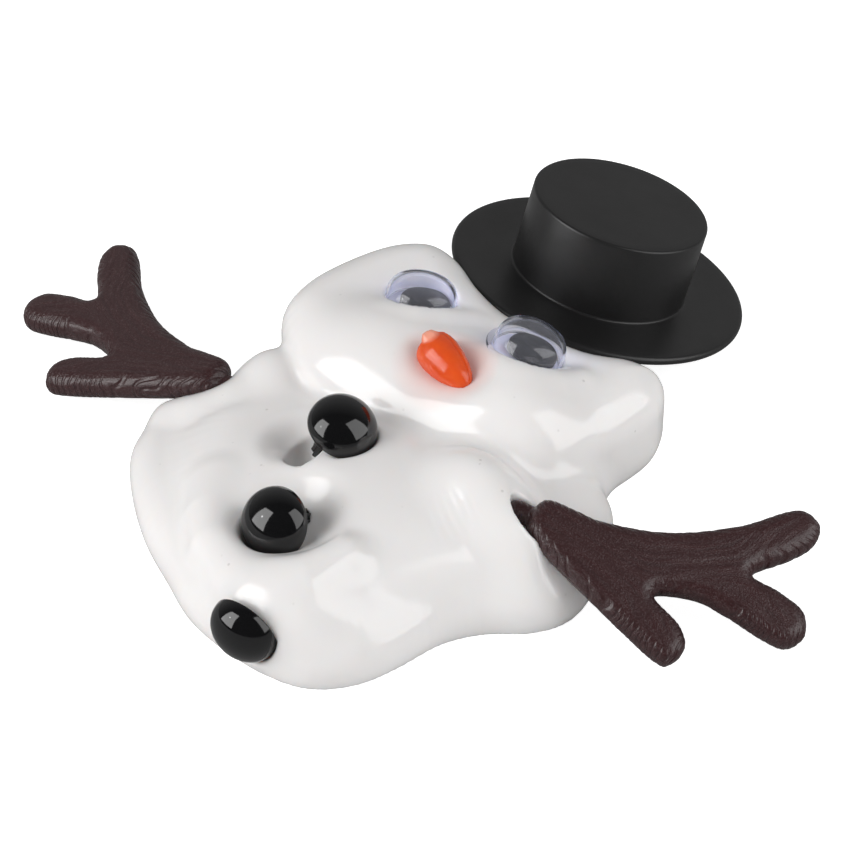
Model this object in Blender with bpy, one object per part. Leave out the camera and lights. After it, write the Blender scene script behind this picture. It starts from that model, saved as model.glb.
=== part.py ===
"""Melting snowman: a puddle of white putty with a hat, eyes, a nose, buttons and twig arms pushed into it.

Sizes are in millimetres and scaled to metres as each mesh is made. The snowman lies on its back on the table:
+Y runs from its feet to its hat, +X to the end of its right twig, +Z up. The origin is on the flat underside.
Left and right are as seen from its feet.
"""

import math

import bmesh
import bpy
import numpy as np
import openvdb
from mathutils import Euler, Matrix, Vector

MM = 0.001
FIT_GAP = 0.3  # between the putty and each piece pushed into it

# Hat: one thin moulding, open underneath
HAT_BRIM_RADIUS = 22.2
HAT_BRIM_THICK = 1.3
HAT_CROWN_RADIUS = 13.1
HAT_CROWN_HEIGHT = 12.2
HAT_WALL = 1.2
HAT_TOP_EDGE = 0.5
HAT_PLACE = (0.9, 53.2, 7.6)
HAT_AXIS = (0.120, 0.252, 0.960)

# Eyes: a backing disc, a clear dome with a flange, and a loose pupil under the dome
EYE_RADIUS = 6.0  # of the flange
EYE_BACK_RADIUS = 5.1
EYE_BACK_THICK = 0.8
EYE_DOME_RADIUS = 5.15
EYE_DOME_HEIGHT = 4.0
EYE_DOME_SQUARENESS = 0.62  # under 1 gives the dome upright sides and a flatter top
EYE_WALL = 0.4
EYE_FLANGE_THICK = 0.4
PUPIL_RADIUS = 3.6
PUPIL_THICK = 0.8
EYES = {
    "left": {"place": (-8.8, 22.4, 16.2), "axis": (0.022, 0.233, 0.972), "pupil": (-0.2, -0.83)},
    "right": {"place": (10.7, 20.9, 17.9), "axis": (0.201, 0.298, 0.933), "pupil": (0.3, -0.92)},
}

# Nose: a blunt carrot lying on the face
NOSE_RADIUS = 2.95
NOSE_TIP_RADIUS = 0.95
NOSE_LENGTH = 9.0
NOSE_PLACE = (0.4, 12.8, 20.0)
NOSE_AXIS = (0.938, -0.306, -0.185)

# Buttons: a dome on a pin
BUTTON_RADIUS = 4.95
BUTTON_HEIGHT = 4.05
BUTTON_RIM = 0.5
BUTTON_PIN_RADIUS = 2.1
BUTTON_PIN_LENGTH = 7.0
BUTTON_ROOM = 0.4  # all round each dome, in the dent that it has pressed
BUTTONS = {
    "top": {"place": (-1.5, -4.7, 15.9), "axis": (0.443, 0.033, 0.896)},
    "middle": {"place": (1.1, -22.4, 12.6), "axis": (-0.062, -0.838, 0.543)},
    "bottom": {"place": (6.7, -35.9, 6.8), "axis": (0.005, -0.974, -0.228)},
}

# Twig arms: one flat three-pronged moulding and its mirror image, each with a round peg
ARM_THICK = 4.7
ARM_EDGE_ROUND = 2.2
ARM_PEG_RADIUS = 1.6
ARM_PEG_LENGTH = 5.3  # to its blunt point
ARM_PEG_POINT = 2.4  # the tapered part of it
ARM_PEG_START = 2.0  # inside the twig, so that the two are one solid
ARM_PEG_PLACE = (0.0, 0.1, -0.55)  # along, across and out of the twig's face, as is its axis
ARM_PEG_AXIS = (-0.943, -0.279, -0.181)
ARM_OUTLINE = (
    (-1.1, 3.0), (2.5, 4.6), (6.1, 6.3), (12.6, 11.6), (18.2, 19.4), (21.2, 26.2),
    (23.2, 28.2), (26.0, 28.0), (27.3, 25.2), (26.4, 21.0), (24.6, 15.9),
    (28.4, 16.8), (32.8, 17.2), (35.4, 14.8), (34.8, 11.6), (31.8, 10.2),
    (26.5, 9.0), (22.0, 7.4), (18.0, 3.6),
    (23.0, 3.2), (25.8, 1.6), (26.2, -1.3), (24.0, -3.0),
    (12.0, -3.3), (1.8, -3.2), (-0.9, -1.9), (-1.9, 1.2),
)
ARMS = {
    "right": {"place": (28.6, -0.5, 12.3), "along": (0.923, -0.075, -0.378), "face": (0.410, -0.250, 0.877)},
    "left": {"place": (-27.9, -0.2, 8.6), "along": (-0.916, -0.336, -0.2205), "face": (-0.211, -0.166, 0.963)},
}

# Putty: outlines are seen from above, heights are over the table
PUTTY_VOXEL = 0.6
PUTTY_DETAIL = 0.026  # share of the fine mesh's faces that is kept
BODY_OUTLINE = (
    (36.2, -1.5), (35.2, 4.0), (33.0, 10.0), (28.5, 15.5), (22.0, 21.0), (10.0, 23.0), (-8.0, 21.0),
    (-19.0, 14.0),
    (-25.5, 7.0), (-30.4, 0.5), (-32.6, -7.5), (-31.4, -14.5), (-26.5, -20.5), (-19.0, -26.5),
    (-11.5, -30.5), (-5.0, -34.0), (2.5, -35.8), (10.0, -36.2), (16.0, -34.8), (20.4, -30.4),
    (22.9, -24.5), (24.4, -18.2), (27.5, -12.5), (32.1, -9.0), (35.2, -5.6),
)
MOUND_OUTLINE = (
    (31.5, 0.0), (28.0, 6.0), (22.0, 10.0), (10.0, 10.0), (-8.0, 9.0), (-20.5, 3.0), (-24.5, -7.0),
    (-20.5, -17.0),
    (-14.5, -23.5), (-8.0, -28.0), (-1.5, -31.0), (6.0, -32.0), (13.0, -31.5), (18.0, -28.0),
    (20.5, -21.0), (22.5, -15.0), (27.0, -10.0), (31.0, -6.0),
)
HEAD_OUTLINE = (
    (27.6, 25.5), (27.4, 30.0), (25.0, 34.0), (20.0, 34.0), (14.0, 31.5), (6.0, 31.0), (0.0, 31.5),
    (-6.0, 33.5),
    (-12.0, 36.5), (-17.0, 36.5), (-21.5, 32.5), (-24.5, 25.5), (-26.0, 17.0), (-24.0, 10.0), (-16.0, 5.0),
    (-8.0, 3.0), (2.0, 2.0), (9.0, 3.5), (15.0, 6.8), (22.0, 11.5), (26.0, 18.0),
)
LOBES = (
    # centre, radii, yaw in degrees, blend with what comes before
    ("belly", (5.0, -7.0, 7.0), (20.0, 17.0, 8.0), 0, 4.0),
    ("right_shoulder", (26.2, 8.0, 5.0), (6.2, 7.0, 5.0), 0, 3.0),
    ("right_arm_root", (18.0, -1.0, 8.7), (8.7, 6.5, 9.0), -10, 4.0),
    ("right_peg_root", (25.3, -3.0, 8.4), (6.0, 4.5, 6.2), 0, 3.0),
    ("left_shoulder", (-20.3, 4.3, 5.0), (6.6, 7.0, 8.2), 0, 4.0),
    ("feet", (7.5, -28.5, 6.5), (9.0, 8.0, 6.5), 0, 3.0),
)
RIDGES = (
    # the points it runs through, its radius, blend
    ("left_arm_root", ((-30.0, -7.0, 4.0), (-26.8, -5.8, 5.8), (-23.0, -2.6, 7.4)), 2.8, 3.0),
    ("left_hip", ((-12.5, -18.0, 8.5), (-9.5, -23.0, 9.0), (-5.5, -27.2, 9.0), (0.5, -29.8, 8.5)), 3.0, 3.0),
    ("right_hip", ((5.0, -31.0, 9.3), (9.8, -27.0, 11.0), (12.0, -21.5, 11.8)), 2.4, 3.0),
)
FACE_LOBES = (
    ("left_cheek", (-8.0, 12.5, 10.0), (13.0, 9.0, 9.6), 0, 4.0),
    ("right_cheek", (12.0, 13.5, 10.0), (12.0, 9.5, 10.5), 0, 4.0),
)
LID_RIDGES = (
    ("left_eye",
     ((-13.8, 16.4, 14.2), (-10.0, 16.9, 16.8), (-6.1, 18.4, 17.7), (-3.4, 20.6, 17.0), (-1.0, 23.2, 15.4)),
     1.8, 2.5),
    ("right_eye",
     ((7.6, 16.2, 17.3), (10.5, 15.2, 18.2), (12.5, 15.4, 18.4), (14.8, 16.6, 17.6), (17.2, 19.2, 16.5),
      (18.3, 22.5, 15.2)),
     1.8, 2.5),
)
DENTS = (
    ("top_button", (-7.4, -7.6, 16.3), (4.8, 5.4, 5.0), 15, 2.5),
    ("top_pin", (-4.8, -8.8, 12.8), (2.7, 4.5, 4.6), 22, 0.5),
    ("middle_button", (1.8, -20.8, 15.2), (6.5, 7.2, 5.0), 0, 3.0),
    ("nose", (5.0, 11.0, 21.8), (6.5, 4.5, 3.5), -20, 2.5),
    ("right_peg", (29.0, -1.2, 13.0), (5.8, 2.7, 3.0), 5, 0.6),
    ("right_peg_mouth", (28.6, 0.9, 15.6), (4.4, 2.6, 2.6), 0, 1.8),
)


# ---------------------------------------------------------------- scene, materials and meshes


def clear_scene():
    for obj in list(bpy.data.objects):
        bpy.data.objects.remove(obj, do_unlink=True)


def material(name, colour, roughness, transmission=0.0):
    made = bpy.data.materials.new(name)
    made.use_nodes = True
    shader = made.node_tree.nodes["Principled BSDF"]
    shader.inputs["Base Color"].default_value = (*colour, 1.0)
    shader.inputs["Roughness"].default_value = roughness
    shader.inputs["Transmission Weight"].default_value = transmission
    made.diffuse_color = (*colour, 1.0)
    return made


def mesh_object(name, points, faces, finish, sharp=35.0):
    mesh = bpy.data.meshes.new(name)
    mesh.from_pydata([tuple(MM * value for value in point) for point in points], [], faces)
    mesh.update()
    mesh.shade_smooth()
    mesh.set_sharp_from_angle(angle=math.radians(sharp))
    if finish:
        mesh.materials.append(finish)
    obj = bpy.data.objects.new(name, mesh)
    bpy.context.scene.collection.objects.link(obj)
    return obj


def turned(name, profile, sides, finish):
    """A solid of revolution about Z. The profile lists (radius, height) pairs down its outer side, from axis
    to axis."""
    mesh = bpy.data.meshes.new(name)
    edges = [(i, i + 1) for i in range(len(profile) - 1)]
    mesh.from_pydata([(MM * radius, 0.0, MM * height) for radius, height in profile], edges, [])
    if finish:
        mesh.materials.append(finish)
    obj = bpy.data.objects.new(name, mesh)
    bpy.context.scene.collection.objects.link(obj)
    screw = obj.modifiers.new("Turn", "SCREW")
    screw.axis = "Z"
    screw.steps = screw.render_steps = sides
    screw.use_smooth_shade = True
    screw.use_merge_vertices = True
    screw.merge_threshold = 1e-6
    return obj


def arc(centre, radius, start, end, steps):
    """Points on an arc of a circle, or of an ellipse where the radius is a pair; angles in degrees."""
    across, along = radius if isinstance(radius, tuple) else (radius, radius)
    angles = [math.radians(start + (end - start) * step / steps) for step in range(steps + 1)]
    return [(centre[0] + across * math.cos(a), centre[1] + along * math.sin(a)) for a in angles]


def squared_arc(radius, height, base, steps):
    """A quarter of a squared-off ellipse, from the top on the axis down to the base."""
    points = []
    for step in range(steps + 1):
        angle = math.pi / 2 * (1 - step / steps)
        across = 0.0 if step == 0 else radius * math.cos(angle) ** EYE_DOME_SQUARENESS
        points.append((across, base + height * math.sin(angle) ** EYE_DOME_SQUARENESS))
    return points


def stand(obj, place, axis):
    """Puts the object's own origin at the place, with its Z along the axis."""
    turn = Vector(axis).normalized().to_track_quat("Z", "Y").to_matrix().to_4x4()
    obj.matrix_world = Matrix.Translation(Vector(place) * MM) @ turn
    return obj


def cutter(obj):
    """Turns an object into a helper that only cuts."""
    obj.hide_render = True
    obj.display_type = "WIRE"
    return obj


def cut(obj, tool):
    boolean = obj.modifiers.new("Cut " + tool.name, "BOOLEAN")
    boolean.operation = "DIFFERENCE"
    boolean.solver = "EXACT"
    boolean.object = tool


# ---------------------------------------------------------------- distance fields
# A field holds, for each point of a grid, about how far it lies outside a shape; inside it is negative.


def smooth_union(a, b, blend):
    share = np.clip(0.5 + 0.5 * (b - a) / blend, 0.0, 1.0)
    return b + (a - b) * share - blend * share * (1.0 - share)


def smooth_cut(a, b, blend):
    """Shape a without shape b."""
    return -smooth_union(-a, b, blend)


def ellipsoid(grid, centre, radii, turn=(0.0, 0.0, 0.0)):
    """Turn is the ellipsoid's roll, pitch and yaw in degrees."""
    axes = np.array(Euler([math.radians(angle) for angle in turn]).to_matrix())
    offset = [grid[i] - centre[i] for i in range(3)]
    local = [sum(offset[i] * axes[i][k] for i in range(3)) for k in range(3)]
    scaled = np.sqrt(sum((local[k] / radii[k]) ** 2 for k in range(3)))
    slope = np.sqrt(sum((local[k] / radii[k] ** 2) ** 2 for k in range(3))) + 1e-9
    return scaled * (scaled - 1.0) / slope


def cap(grid, centre, axis, radius, below):
    """The part of a ball that lies over a plane a little below its centre."""
    axis = Vector(axis).normalized()
    offset = [grid[i] - centre[i] for i in range(3)]
    away = np.sqrt(sum(value**2 for value in offset))
    return np.maximum(away - radius, -below - sum(offset[i] * axis[i] for i in range(3)))


def rod(grid, start, end, radius):
    run = np.subtract(end, start)
    offset = [grid[i] - start[i] for i in range(3)]
    share = np.clip(sum(offset[i] * run[i] for i in range(3)) / (run @ run), 0.0, 1.0)
    return np.sqrt(sum((offset[i] - share * run[i]) ** 2 for i in range(3))) - radius


def fold(grid, points, radius):
    """A rod that bends at its inner points."""
    return np.minimum.reduce([rod(grid, start, end, radius) for start, end in zip(points, points[1:])])


def closed_curve(points, steps=5):
    """A smooth closed curve through the points (Catmull-Rom)."""
    found = []
    for i in range(len(points)):
        before, here, after, beyond = (np.array(points[(i + k) % len(points)]) for k in (-1, 0, 1, 2))
        for t in np.arange(steps) / steps:
            found.append(
                0.5 * (2 * here + (after - before) * t
                       + (2 * before - 5 * here + 4 * after - beyond) * t**2
                       + (3 * here - before - 3 * after + beyond) * t**3)
            )
    return found


def outline_distance(x, y, outline):
    nearest = np.full(np.broadcast(x, y).shape, np.inf)
    inside = np.zeros(nearest.shape, bool)
    for start, end in zip(outline, outline[1:] + outline[:1]):
        run = end - start
        dx, dy = x - start[0], y - start[1]
        share = np.clip((dx * run[0] + dy * run[1]) / (run @ run), 0.0, 1.0)
        nearest = np.minimum(nearest, (dx - share * run[0]) ** 2 + (dy - share * run[1]) ** 2)
        if run[1] != 0.0:
            crosses = (start[1] <= y) != (end[1] <= y)
            inside ^= crosses & (dx < dy * run[0] / run[1])
    return np.where(inside, -1.0, 1.0) * np.sqrt(nearest)


def pancake(grid, outline, low, high, edge_round):
    """A flat slab of the outline's shape with rounded edges; low and high may vary over the plan."""
    x, y, z = grid
    across = outline_distance(x, y, closed_curve(outline)) + edge_round
    middle, half = (low + high) / 2, (high - low) / 2
    along = abs(z - middle) - half + edge_round
    outside = np.hypot(np.maximum(across, 0.0), np.maximum(along, 0.0))
    return np.minimum(np.maximum(across, along), 0.0) + outside - edge_round


def putty_field(grid):
    x, y, z = grid
    shape = pancake(grid, BODY_OUTLINE, -1.8, 6.5, 4.1)
    shape = smooth_union(shape, pancake(grid, MOUND_OUTLINE, -6.0, 12.0, 8.5), 7.0)
    for _, centre, radii, yaw, blend in LOBES:
        shape = smooth_union(shape, ellipsoid(grid, centre, radii, (0, 0, yaw)), blend)
    for _, points, radius, blend in RIDGES:
        shape = smooth_union(shape, fold(grid, points, radius), blend)
    top = 17.0 - np.where(x < 0.0, 0.08, 0.03) * x
    head = pancake(grid, HEAD_OUTLINE, top - 18.0, top, 6.5)
    head = smooth_union(head, ellipsoid(grid, (2.0, 15.0, 10.0), (22.0, 11.0, 9.5)), 3.0)
    for _, centre, radii, yaw, blend in FACE_LOBES:
        head = smooth_union(head, ellipsoid(grid, centre, radii, (0, 0, yaw)), blend)
    for _, points, radius, blend in LID_RIDGES:
        head = smooth_union(head, fold(grid, points, radius), blend)
    neck_blend = 1.6 + 0.1 * np.clip(x, 0.0, 20.0)
    shape = smooth_union(shape, head, neck_blend)
    for _, centre, radii, yaw, blend in DENTS:
        shape = smooth_cut(shape, ellipsoid(grid, centre, radii, (0, 0, yaw)), blend)
    for spec in BUTTONS.values():
        room = cap(grid, spec["place"], spec["axis"], BUTTON_RADIUS + BUTTON_ROOM, BUTTON_RIM + FIT_GAP)
        shape = smooth_cut(shape, room, 0.8)
    return shape


def surface_mesh(field, low, high, voxel):
    """Points and quads of a field's zero surface."""
    steps = [np.arange(a, b + voxel, voxel) for a, b in zip(low, high)]
    grid = [steps[0][:, None, None], steps[1][None, :, None], steps[2][None, None, :]]
    volume = openvdb.FloatGrid(5.0)
    values = np.broadcast_to(field(grid), [len(step) for step in steps])
    volume.copyFromArray(np.ascontiguousarray(values, np.float32))
    points, quads = volume.convertToQuads(0.0)
    return np.array(low) + points * voxel, quads


# ---------------------------------------------------------------- the pieces
# A profile is a piece's outer side from top to bottom. A gap makes it larger all round, for its socket.


def hat():
    top, brim = HAT_CROWN_HEIGHT, HAT_BRIM_THICK
    outer, inner = HAT_CROWN_RADIUS, HAT_CROWN_RADIUS - HAT_WALL
    lip = brim / 2
    profile = [(0.0, top)] + arc((outer - HAT_TOP_EDGE, top - HAT_TOP_EDGE), HAT_TOP_EDGE, 90, 0, 2)
    profile += [(outer, 0.3), (outer + 0.3, 0.0)] + arc((HAT_BRIM_RADIUS - lip, -lip), lip, 90, -90, 3)
    profile += [(inner, -brim), (inner, top - HAT_WALL), (0.0, top - HAT_WALL)]
    finish = material("hat_plastic", (0.012, 0.012, 0.013), 0.42)
    return stand(turned("hat", profile, 44, finish), HAT_PLACE, HAT_AXIS)


def hat_room():
    """The room that the brim presses into the back of the head, open upwards."""
    reach = HAT_BRIM_RADIUS + FIT_GAP
    profile = [(0.0, HAT_CROWN_HEIGHT), (reach, HAT_CROWN_HEIGHT), (reach, -HAT_BRIM_THICK - FIT_GAP),
               (0.0, -HAT_BRIM_THICK - FIT_GAP)]
    return stand(turned("hat_room", profile, 40, None), HAT_PLACE, HAT_AXIS)


def eye(side):
    spec = EYES[side]
    place, axis = Vector(spec["place"]), Vector(spec["axis"]).normalized()
    backing = [(0.0, 0.0)] + arc((EYE_BACK_RADIUS - 0.2, -0.2), 0.2, 90, 0, 1)
    backing += [(EYE_BACK_RADIUS, -EYE_BACK_THICK), (0.0, -EYE_BACK_THICK)]
    finish = material("eye_backing", (0.72, 0.72, 0.86), 0.4)
    stand(turned(f"eye_{side}_backing", backing, 26, finish), place, axis)
    base, flange = FIT_GAP, EYE_FLANGE_THICK
    dome = squared_arc(EYE_DOME_RADIUS, EYE_DOME_HEIGHT, base + flange, 5)
    dome += [(EYE_RADIUS, base + flange), (EYE_RADIUS, base)]
    dome += squared_arc(EYE_DOME_RADIUS - EYE_WALL, EYE_DOME_HEIGHT - EYE_WALL + flange, base, 5)[::-1]
    finish = material("eye_dome", (0.95, 0.95, 1.0), 0.03, 1.0)
    stand(turned(f"eye_{side}_dome", dome, 26, finish), place, axis)
    edge = 0.15
    pupil = [(0.0, PUPIL_THICK), (PUPIL_RADIUS - edge, PUPIL_THICK), (PUPIL_RADIUS, PUPIL_THICK - edge),
             (PUPIL_RADIUS, 0.0), (0.0, 0.0)]
    rest = place + axis.to_track_quat("Z", "Y").to_matrix() @ Vector((*spec["pupil"], FIT_GAP))
    finish = material("pupil", (0.03, 0.03, 0.035), 0.3)
    stand(turned(f"eye_{side}_pupil", pupil, 24, finish), rest, axis)


def eye_socket(side):
    top = EYE_FLANGE_THICK + 2 * FIT_GAP
    profile = squared_arc(EYE_DOME_RADIUS + FIT_GAP, EYE_DOME_HEIGHT, top, 3)
    profile += [(EYE_RADIUS + FIT_GAP, top), (EYE_RADIUS + FIT_GAP, 0.0), (EYE_BACK_RADIUS + FIT_GAP, 0.0),
                (EYE_BACK_RADIUS + FIT_GAP, -EYE_BACK_THICK - FIT_GAP), (0.0, -EYE_BACK_THICK - FIT_GAP)]
    return stand(turned(f"eye_{side}_socket", profile, 28, None), EYES[side]["place"], EYES[side]["axis"])


def nose_profile(gap=0.0):
    wide, tip, long = NOSE_RADIUS, NOSE_TIP_RADIUS, NOSE_LENGTH
    profile = [(0.0, long)] + arc((0.0, long - tip), tip, 70, 20, 2)
    profile += [(0.58 * wide, 0.84 * long), (0.80 * wide, 0.66 * long), (0.95 * wide, 0.42 * long),
                (wide, 0.22 * long), (0.93 * wide, 0.08 * long), (0.80 * wide, 0.0), (0.0, 0.0)]
    stretch = 1 + 2 * gap / long
    return [(radius + gap if radius else 0.0, height * stretch - gap) for radius, height in profile]


def nose():
    finish = material("carrot_plastic", (0.85, 0.12, 0.03), 0.3)
    return stand(turned("carrot_nose", nose_profile(), 20, finish), NOSE_PLACE, NOSE_AXIS)


def button_profile(dome_steps, gap=0.0):
    profile = arc((0.0, 0.0), (BUTTON_RADIUS + gap, BUTTON_HEIGHT + gap), 90, 0, dome_steps)
    profile[0] = (0.0, BUTTON_HEIGHT + gap)
    pin, end = BUTTON_PIN_RADIUS + gap, -BUTTON_PIN_LENGTH - gap
    profile += [(BUTTON_RADIUS - 0.3 + gap, -BUTTON_RIM - gap), (pin, -BUTTON_RIM - gap)]
    return profile + [(pin, end + 0.5), (pin - 0.5, end), (0.0, end)]


def button(name):
    finish = material("button_plastic", (0.008, 0.008, 0.009), 0.12)
    spec = BUTTONS[name]
    return stand(turned(f"button_{name}", button_profile(6), 24, finish), spec["place"], spec["axis"])


def twig(name, side, detail, gap=0.0):
    """The flat three-pronged twig with its peg, as a closed mesh."""
    curve = bpy.data.curves.new(name, "CURVE")
    curve.dimensions = "2D"
    curve.fill_mode = "BOTH"
    curve.resolution_u = detail
    curve.extrude = MM * (ARM_THICK / 2 - ARM_EDGE_ROUND)
    curve.bevel_depth = MM * (ARM_EDGE_ROUND + gap)
    curve.bevel_resolution = detail - 1
    curve.offset = -MM * ARM_EDGE_ROUND
    flip = -1 if side == "left" else 1
    spline = curve.splines.new("BEZIER")
    spline.use_cyclic_u = True
    spline.bezier_points.add(len(ARM_OUTLINE) - 1)
    for point, (u, v) in zip(spline.bezier_points, ARM_OUTLINE):
        point.co = (MM * u, MM * v * flip, 0.0)
        point.handle_left_type = point.handle_right_type = "AUTO"
    outline = bpy.data.objects.new(name + "_outline", curve)
    mesh = bpy.data.meshes.new_from_object(outline)
    bpy.data.objects.remove(outline)
    welded = bmesh.new()
    welded.from_mesh(mesh)
    bmesh.ops.remove_doubles(welded, verts=welded.verts, dist=1e-6)
    bmesh.ops.recalc_face_normals(welded, faces=welded.faces)
    welded.to_mesh(mesh)
    welded.free()
    mesh.shade_smooth()
    mesh.name = name
    obj = bpy.data.objects.new(name, mesh)
    bpy.context.scene.collection.objects.link(obj)

    start, end, radius = -ARM_PEG_START, ARM_PEG_LENGTH + gap, ARM_PEG_RADIUS + gap
    profile = [(0.0, end), (0.3 * radius, end - 0.1), (0.75 * radius, end - ARM_PEG_POINT / 2),
               (radius, end - ARM_PEG_POINT), (radius, start), (0.0, start)]
    peg = turned(name + "_peg", profile, 14, None)
    (along, across, out), (forward, sideways, outward) = ARM_PEG_PLACE, ARM_PEG_AXIS
    stand(peg, (along, across * flip, out), (forward, sideways * flip, outward))
    boolean = obj.modifiers.new("Join the peg", "BOOLEAN")
    boolean.operation = "UNION"
    boolean.solver = "EXACT"
    boolean.object = cutter(peg)

    spec = ARMS[side]
    along, face = Vector(spec["along"]).normalized(), Vector(spec["face"])
    across = face.cross(along).normalized()
    turn = Matrix((along, across, along.cross(across))).transposed().to_4x4()
    obj.matrix_world = Matrix.Translation(Vector(spec["place"]) * MM) @ turn
    peg.matrix_world = obj.matrix_world @ peg.matrix_world
    return obj


def arm(side):
    obj = twig(f"twig_arm_{side}", side, 2)
    obj.data.materials.append(material("twig_plastic", (0.05, 0.028, 0.026), 0.5))
    return obj


def table_block():
    """Everything under the table's surface."""
    x, y, deep = 80.0, 80.0, 10.0
    corners = [(i * x, j * y, k * deep - deep) for k in (0, 1) for j in (-1, 1) for i in (-1, 1)]
    faces = [(0, 2, 3, 1), (4, 5, 7, 6), (0, 1, 5, 4), (2, 6, 7, 3), (0, 4, 6, 2), (1, 3, 7, 5)]
    return mesh_object("table_block", corners, faces, None)


def putty():
    points, quads = surface_mesh(putty_field, (-42.0, -46.0, -3.0), (46.0, 48.0, 28.0), PUTTY_VOXEL)
    obj = mesh_object("putty", points, quads, material("putty", (0.85, 0.84, 0.83), 0.35), sharp=180.0)
    decimate = obj.modifiers.new("Fewer faces", "DECIMATE")
    decimate.ratio = PUTTY_DETAIL
    cut(obj, cutter(table_block()))
    cut(obj, cutter(hat_room()))
    for side in EYES:
        cut(obj, cutter(eye_socket(side)))
    cut(obj, cutter(stand(turned("nose_socket", nose_profile(FIT_GAP), 16, None), NOSE_PLACE, NOSE_AXIS)))
    for name, spec in BUTTONS.items():
        socket = turned(f"button_{name}_socket", button_profile(3, FIT_GAP), 20, None)
        cut(obj, cutter(stand(socket, spec["place"], spec["axis"])))
    for side in ARMS:
        cut(obj, cutter(twig(f"twig_{side}_socket", side, 2, 1.5 * FIT_GAP)))
    return obj


def main():
    clear_scene()
    putty()
    hat()
    for side in EYES:
        eye(side)
    nose()
    for name in BUTTONS:
        button(name)
    for side in ARMS:
        arm(side)


main()
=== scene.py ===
"""Melting snowman: white putty that has slumped flat, with the plastic pieces of a small kit pushed into it.

Sizes are in millimetres and become metres as each mesh is made. The snowman lies on its back on the floor:
+Y runs from its feet to its hat, +X to the end of its right-hand twig, +Z up. The origin is on its flat
underside. Left and right are as seen from its feet.
"""

import math

import bpy
import numpy as np
import openvdb
from mathutils import Euler, Matrix, Vector

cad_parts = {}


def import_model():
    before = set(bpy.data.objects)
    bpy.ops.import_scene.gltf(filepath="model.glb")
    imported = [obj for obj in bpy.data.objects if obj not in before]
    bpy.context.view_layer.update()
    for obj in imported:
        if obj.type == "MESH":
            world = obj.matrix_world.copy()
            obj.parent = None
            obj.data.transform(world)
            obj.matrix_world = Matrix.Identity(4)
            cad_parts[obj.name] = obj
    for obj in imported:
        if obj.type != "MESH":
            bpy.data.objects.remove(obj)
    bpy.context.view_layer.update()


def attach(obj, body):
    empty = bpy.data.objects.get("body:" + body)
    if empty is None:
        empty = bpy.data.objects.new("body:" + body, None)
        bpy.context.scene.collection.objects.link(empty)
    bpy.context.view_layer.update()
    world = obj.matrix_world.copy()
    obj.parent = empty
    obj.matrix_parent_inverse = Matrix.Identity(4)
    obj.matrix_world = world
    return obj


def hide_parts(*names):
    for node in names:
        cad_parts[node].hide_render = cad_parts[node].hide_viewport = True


MM = 0.001
NOISE_TABLE = 4096  # a power of two
NOISE_PRIMES = (73856093, 19349663, 83492791)  # they mix a cell's three numbers into one key
ROUND_TRIM = 0.05  # a round edge reaches this much further than its faceted solid

# Hat: one thin moulding, open underneath
HAT_BRIM_RADIUS = 22.2
HAT_BRIM_THICK = 1.3
HAT_CROWN_RADIUS = 13.1
HAT_CROWN_HEIGHT = 12.2
HAT_WALL = 1.2
HAT_TOP_EDGE = 0.4
HAT_FOOT_FILLET = 0.35
HAT_INNER_EDGE = 0.3
HAT_TOP_RINGS = (3.0, 6.0, 9.0, 11.5)  # rings inside the wide faces keep their smooth shading even
HAT_SIDE_RINGS = (9.0, 6.0, 3.0)
HAT_BRIM_RINGS = (15.5, 18.0, 20.5)
HAT_BRIM_UNDER_RING = 18.0
HAT_ROOM_CLEARANCE = 0.02  # between the brim and the putty under it
HAT_PLACE = (0.9, 53.2, 7.6)
HAT_AXIS = (0.120, 0.252, 0.960)

# Eyes: a backing disc, a clear dome with a flange, and a loose pupil under the dome
EYE_RADIUS = 6.0  # of the flange
EYE_BACK_RADIUS = 5.1
EYE_BACK_THICK = 0.8
EYE_DOME_RADIUS = 5.15
EYE_DOME_HEIGHT = 4.0
EYE_DOME_SQUARENESS = 0.62  # under 1 gives the dome upright sides and a flatter top
EYE_WALL = 0.4
EYE_FLANGE_THICK = 0.4
EYE_GAP = 0.3
EYE_EDGE = 0.15
EYE_CLEARANCE = 0.03  # between the dome and the putty
PUPIL_RADIUS = 3.6
PUPIL_THICK = 0.8
PUPIL_EDGE = 0.12
EYES = {
    "left": {"place": (-8.8, 22.4, 16.2), "axis": (0.022, 0.233, 0.972), "pupil": (-0.2, -0.83)},
    "right": {"place": (10.7, 20.9, 17.9), "axis": (0.201, 0.298, 0.933), "pupil": (0.3, -0.92)},
}

# Nose: a blunt carrot lying on the face
NOSE_RADIUS = 2.95
NOSE_LENGTH = 9.0
NOSE_PLACE = (0.4, 12.8, 20.0)
NOSE_AXIS = (0.938, -0.306, -0.185)
NOSE_UP = (0.461, -0.612, 0.643)  # the side of the carrot that shows
NOSE_BLUNTNESS = 2.2  # of the hole that the putty leaves for it
NOSE_PROFILE = (  # share of the length from its wide end, share of the radius
    (0.0, 0.80), (0.04, 0.90), (0.12, 0.97), (0.25, 1.0), (0.45, 0.945),
    (0.66, 0.80), (0.84, 0.58), (0.93, 0.40), (0.975, 0.235),
)
SEAM_ANGLE = 33.0  # of the parting line, in degrees from the carrot's own X
SEAM_HEIGHT = 0.13
SEAM_WIDTH = 3.0  # in degrees, as are the two below
SEAM_GROOVE_ANGLE = -9.0  # of the groove that runs beside it
SEAM_GROOVE_WIDTH = 6.0
SEAM_GROOVE_DEPTH = 0.06
CARROT_FLATS = 0.05  # depth of its uneven places
CARROT_FLATS_CELL = 2.4
GATE = (0.58, 2.15, 0.1)  # the broken gate, in the carrot's own frame
GATE_SIZE = 1.0
GATE_TALL = 0.7
GATE_LEAN = (0.1, 0.45, -0.9)
GATE_RAGGED = 0.35
GATE_RAGGED_CELL = 0.45

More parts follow.
